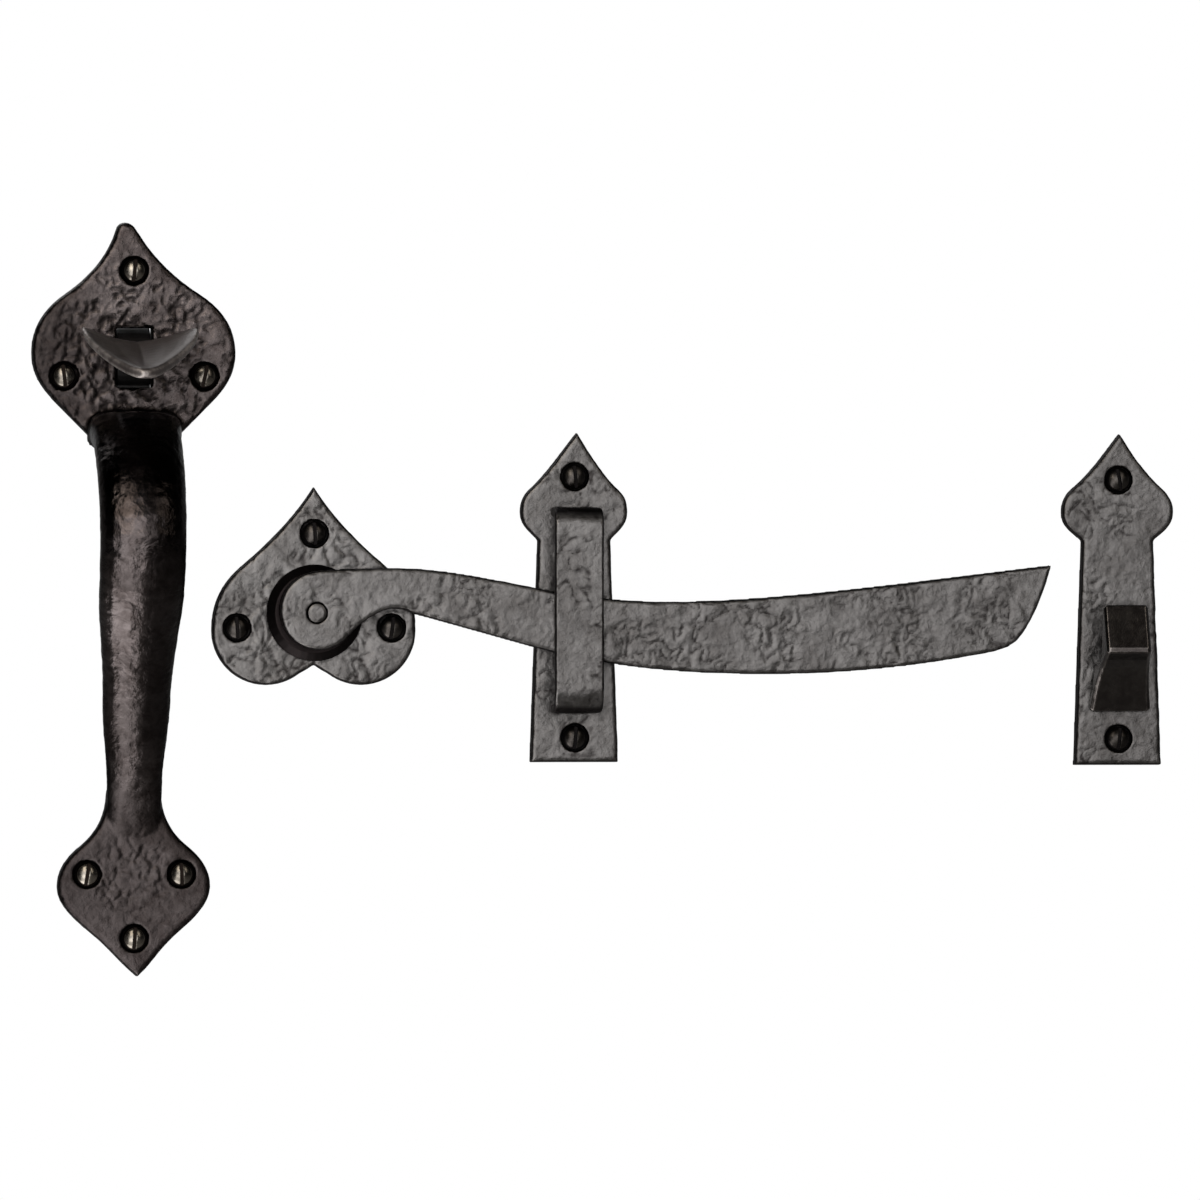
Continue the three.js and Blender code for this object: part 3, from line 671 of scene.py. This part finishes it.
def screw_rings():
    """The screw's rings from its point to its crown: each a radius function and how far forward it is."""
    rings = []
    step = SCREW["pitch"] / RINGS_PER_TURN
    count = int((SCREW["length"] - SCREW["plain"]) / step)
    for i in range(count + 1):
        along = SCREW["length"] - SCREW["tip"] - i * step
        rings.append((lambda angle, along=along: screw_radius(along, angle), -along))
    flat = SCREW["head"] - SCREW["bevel_in"]
    for radius, out in ((SCREW["shank"], 0.0), (flat, 0.0), (SCREW["head"], SCREW["bevel_out"])):
        rings.append((lambda angle, radius=radius: radius, out))
    for i in range(DOME_RINGS):
        turn = i / DOME_RINGS * math.pi / 2
        out = SCREW["rim"] + (SCREW["dome"] - SCREW["rim"]) * math.sin(turn)
        rings.append((lambda angle, turn=turn: SCREW["head"] * math.cos(turn), out))
    return rings


def turned_mesh(name, rings, tip, crown):
    """A closed skin over the rings, along -Y, with a point at each end."""
    build = bmesh.new()
    rows = []
    for radius, out in rings:
        row = []
        for i in range(SCREW_SEGMENTS):
            angle = i / SCREW_SEGMENTS * 2 * math.pi
            r = radius(angle)
            row.append(build.verts.new((r * math.cos(angle) * MM, -out * MM, r * math.sin(angle) * MM)))
        rows.append(row)
    ends = [build.verts.new((0.0, -out * MM, 0.0)) for out in (tip, crown)]
    for i in range(SCREW_SEGMENTS):
        j = (i + 1) % SCREW_SEGMENTS
        build.faces.new((ends[0], rows[0][j], rows[0][i]))
        build.faces.new((ends[1], rows[-1][i], rows[-1][j]))
        for lower, upper in zip(rows, rows[1:]):
            build.faces.new((lower[i], lower[j], upper[j], upper[i]))
    bmesh.ops.recalc_face_normals(build, faces=build.faces)
    mesh = bpy.data.meshes.new(name)
    build.to_mesh(mesh)
    build.free()
    return mesh


def box_mesh(name, size, centre):
    build = bmesh.new()
    spread = Matrix.Diagonal((*size, 1.0))
    bmesh.ops.create_cube(build, size=1.0, matrix=Matrix.Translation(centre) @ spread)
    mesh = bpy.data.meshes.new(name)
    build.to_mesh(mesh)
    build.free()
    return mesh


def slotted_screw():
    """One finished screw at the origin: the flat under its head on y = 0, its head towards -Y."""
    turned = turned_mesh("screw", screw_rings(), -SCREW["length"], SCREW["dome"])
    body = bpy.data.objects.new("screw", turned)
    deep = SCREW["slot_deep"]
    # The cutter stands 2 mm out of the crown, and reaches past both sides of the head.
    centre = Vector((0.0, -(SCREW["dome"] + 1.0 - deep / 2) * MM, 0.0))
    size = Vector((SCREW["slot_wide"], 2.0 + deep, SCREW["head"] * 3)) * MM
    cutter = bpy.data.objects.new("cutter", box_mesh("cutter", size, centre))
    for item in (body, cutter):
        bpy.context.scene.collection.objects.link(item)
    cut = body.modifiers.new("slot", "BOOLEAN")
    cut.operation = "DIFFERENCE"
    cut.solver = "EXACT"
    cut.object = cutter
    edge = body.modifiers.new("edge", "BEVEL")
    edge.width = SCREW["edge"] * MM
    edge.segments = BEVEL_SEGMENTS
    edge.limit_method = "ANGLE"
    edge.angle_limit = math.radians(SHARP_EDGE)
    graph = bpy.context.evaluated_depsgraph_get()
    mesh = bpy.data.meshes.new_from_object(body.evaluated_get(graph))
    for item in (body, cutter):
        bpy.data.objects.remove(item)
    return mesh


def make_screws():
    """A copy of the screw for each screw node, its head where the CAD has it, its slot a little askew."""
    master = slotted_screw()
    nodes = sorted(name for name in frame["nodes"] if "_screw_" in name)
    for tilt, node in zip(SLOT_TILTS, nodes):
        low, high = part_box(node)
        crown = Vector(((low.x + high.x) / 2, low.y, (low.z + high.z) / 2))
        mesh = master.copy()
        seat = crown + Vector((0.0, SCREW["dome"] * MM, 0.0))
        mesh.transform(Matrix.Translation(seat) @ Matrix.Rotation(math.radians(tilt), 4, "Y"))
        # Painted shade: everything nearer the door than just above the slot's floor turns black, that is
        # the slot's floor and lower walls and the head's lower band.
        shade_top = SCREW["dome"] - SCREW["slot_deep"] + SCREW["slot_shade"]
        store(mesh, "soot_and_shade", points_of(mesh)[:, 1] > seat.y - shade_top * MM)
        # The handle's screws take the brightened copy with its painted highlight; the latch's screws take
        # the darker, shaded one.
        iron = "handle_screw_iron" if node.startswith("handle") else "shaded_screw_iron"
        place(mesh, f"{node}_turned", node, IRONS[iron])


# ---- Stage, camera and light --------------------------------------------------------------------------

def make_floor():
    lowest = cad_box[0][2]
    build = bmesh.new()
    bmesh.ops.create_circle(build, cap_ends=True, segments=FLOOR["sides"], radius=FLOOR["radius"])
    bmesh.ops.translate(build, verts=build.verts, vec=(0.0, 0.0, lowest - FLOOR["below"]))
    mesh = bpy.data.meshes.new("floor")
    build.to_mesh(mesh)
    build.free()
    mesh.materials.append(floor_paper())
    floor = bpy.data.objects.new("floor", mesh)
    bpy.context.scene.collection.objects.link(floor)


def make_camera():
    back = towards(VIEW["azimuth"], VIEW["elevation"])
    data = bpy.data.cameras.new("camera")
    data.sensor_width = VIEW["sensor"]
    data.lens = VIEW["sensor"] * VIEW["away"] / VIEW["width"]
    data.clip_end = VIEW["sees"]
    camera = bpy.data.objects.new("camera", data)
    camera.location = Vector(VIEW["aim"]) + back * VIEW["away"]
    camera.rotation_euler = (-back).to_track_quat("-Z", "Y").to_euler()
    bpy.context.scene.collection.objects.link(camera)
    bpy.context.scene.camera = camera


WHITE = (1.0, 1.0, 1.0)
CREAM = (1.0, 0.93, 0.82)


def towards(azimuth, elevation):
    turn, lift = math.radians(azimuth), math.radians(elevation)
    return Vector((math.sin(turn) * math.cos(lift), -math.cos(turn) * math.cos(lift), math.sin(lift)))


def softbox(name, aim, azimuth, elevation, away, size, radiance, aside=0.0, shape="RECTANGLE", tint=WHITE):
    """An area light facing the aim from a direction, shifted aside along X. size is (width, height)."""
    data = bpy.data.lights.new(name, "AREA")
    data.shape = shape
    data.size, data.size_y = size
    data.energy = radiance * math.pi * size[0] * size[1]
    data.color = tint
    light = bpy.data.objects.new(name, data)
    light.location = aim + towards(azimuth, elevation) * away + Vector((aside, 0.0, 0.0))
    light.rotation_euler = (-towards(azimuth, elevation)).to_track_quat("-Z", "Y").to_euler()
    light.visible_camera = False
    bpy.context.scene.collection.objects.link(light)


# The room that the iron reflects: how bright it is at each azimuth (degrees, 0 in front of the object and
# 90 at its right) and at each elevation. The two are multiplied, and both fade between their stops.
ROOM_ROUND = ((-180, 0.05), (-105, 0.04), (-80, 0.008), (-40, 0.008), (-32, 0.65), (-12, 0.9), (8, 1.0),
              (13, 0.5), (18, 0.008), (78, 0.008), (92, 0.06), (180, 0.06))
ROOM_UP = ((-90, 0.03), (-62, 0.05), (-36, 0.45), (-14, 1.0), (14, 1.0), (28, 0.3), (38, 0.04), (72, 0.03),
           (90, 0.12))
ROOM_LIGHT = 3.7


def room_level(tree, angle, half_turn, stops):
    """A ramp over an angle in radians that runs from -half_turn to half_turn degrees."""
    span = tree.nodes.new("ShaderNodeMapRange")
    span.inputs["From Min"].default_value = -math.radians(half_turn)
    span.inputs["From Max"].default_value = math.radians(half_turn)
    tree.links.new(angle, span.inputs["Value"])
    ramp = tree.nodes.new("ShaderNodeValToRGB")
    ramp.color_ramp.interpolation = "EASE"
    while len(ramp.color_ramp.elements) < len(stops):
        ramp.color_ramp.elements.new(0.5)
    for element, (at, level) in zip(ramp.color_ramp.elements, stops):
        element.position = (at + half_turn) / (2 * half_turn)
        element.color = (level, level, level, 1.0)
    tree.links.new(span.outputs["Result"], ramp.inputs["Fac"])
    return ramp.outputs["Color"]


def world_math(tree, operation, first, second=None):
    node = tree.nodes.new("ShaderNodeMath")
    node.operation = operation
    for socket, value in zip(node.inputs, (first, second)):
        if isinstance(value, (int, float)):
            socket.default_value = value
        elif value is not None:
            tree.links.new(value, socket)
    return node.outputs[0]


def make_world():
    """White to the camera. To the iron, a dark room with one tall window of light in front."""
    world = bpy.data.worlds.new("studio")
    world.use_nodes = True
    tree = world.node_tree
    tree.nodes.clear()
    split = tree.nodes.new("ShaderNodeSeparateXYZ")
    tree.links.new(tree.nodes.new("ShaderNodeTexCoord").outputs["Generated"], split.inputs[0])
    x, y, z = split.outputs
    azimuth = world_math(tree, "ARCTAN2", x, world_math(tree, "MULTIPLY", y, -1.0))
    elevation = world_math(tree, "ARCSINE", z)
    room = tree.nodes.new("ShaderNodeBackground")
    both = world_math(tree, "MULTIPLY", room_level(tree, azimuth, 180, ROOM_ROUND),
                      room_level(tree, elevation, 90, ROOM_UP))
    tree.links.new(world_math(tree, "MULTIPLY", both, ROOM_LIGHT), room.inputs["Strength"])
    white = tree.nodes.new("ShaderNodeBackground")
    choose = tree.nodes.new("ShaderNodeMixShader")
    for background in (room, white):
        background.inputs["Color"].default_value = (1.0, 1.0, 1.0, 1.0)
    tree.links.new(tree.nodes.new("ShaderNodeLightPath").outputs["Is Camera Ray"], choose.inputs[0])
    tree.links.new(room.outputs[0], choose.inputs[1])
    tree.links.new(white.outputs[0], choose.inputs[2])
    tree.links.new(choose.outputs[0], tree.nodes.new("ShaderNodeOutputWorld").inputs["Surface"])
    bpy.context.scene.world = world


# Panels of light: where they aim, their direction (degrees) and distance, their width and height, how
# bright they are and how far they are shifted along X. The shift puts their reflection down one side of
# the grip, whose bow looks up and down. The back panel lights the thumb press's leaf, which looks up.
PANELS = {
    "under_panel": {
        "aim": "grip", "azimuth": 0, "elevation": -88, "away": 0.3, "size": (0.2, 0.22), "radiance": 5.0,
        "aside": -0.108,
    },
    "low_panel": {
        "aim": "grip", "azimuth": 0, "elevation": -45, "away": 0.3, "size": (0.2, 0.24), "radiance": 2.3,
        "aside": -0.108,
    },
    "front_panel": {
        "aim": "grip", "azimuth": 0, "elevation": -20, "away": 0.6, "size": (0.36, 0.26), "radiance": 3.2,
        "aside": -0.19,
    },
    "high_panel": {
        "aim": "grip", "azimuth": 0, "elevation": 36, "away": 0.5, "size": (0.2, 0.4), "radiance": 4.4,
        "aside": -0.175, "tint": CREAM,
    },
    "back_panel": {
        "aim": "leaf", "azimuth": 180, "elevation": 42, "away": 0.6, "size": (0.4, 0.36), "radiance": 1.8,
        "aside": -0.14,
    },
    "right_box": {
        "aim": "grip", "azimuth": 36, "elevation": 30, "away": 2.5, "size": (0.38, 1.8), "radiance": 2.4,
        "shape": "ELLIPSE", "tint": CREAM,
    },
}


def make_lights():
    low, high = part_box("handle")
    grip = Vector(((low.x + high.x) / 2, low.y / 2, 0.0))
    low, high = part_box("thumb_press")
    leaf = Vector(((low.x + high.x) / 2, low.y, high.z))
    aims = {"grip": grip, "leaf": leaf}
    for name, panel in PANELS.items():
        settings = {key: value for key, value in panel.items() if key != "aim"}
        softbox(name, aims[panel["aim"]], **settings)


make_castings()
make_screws()
make_floor()
make_camera()
make_world()
make_lights()
bpy.context.scene.view_settings.view_transform = "Standard"
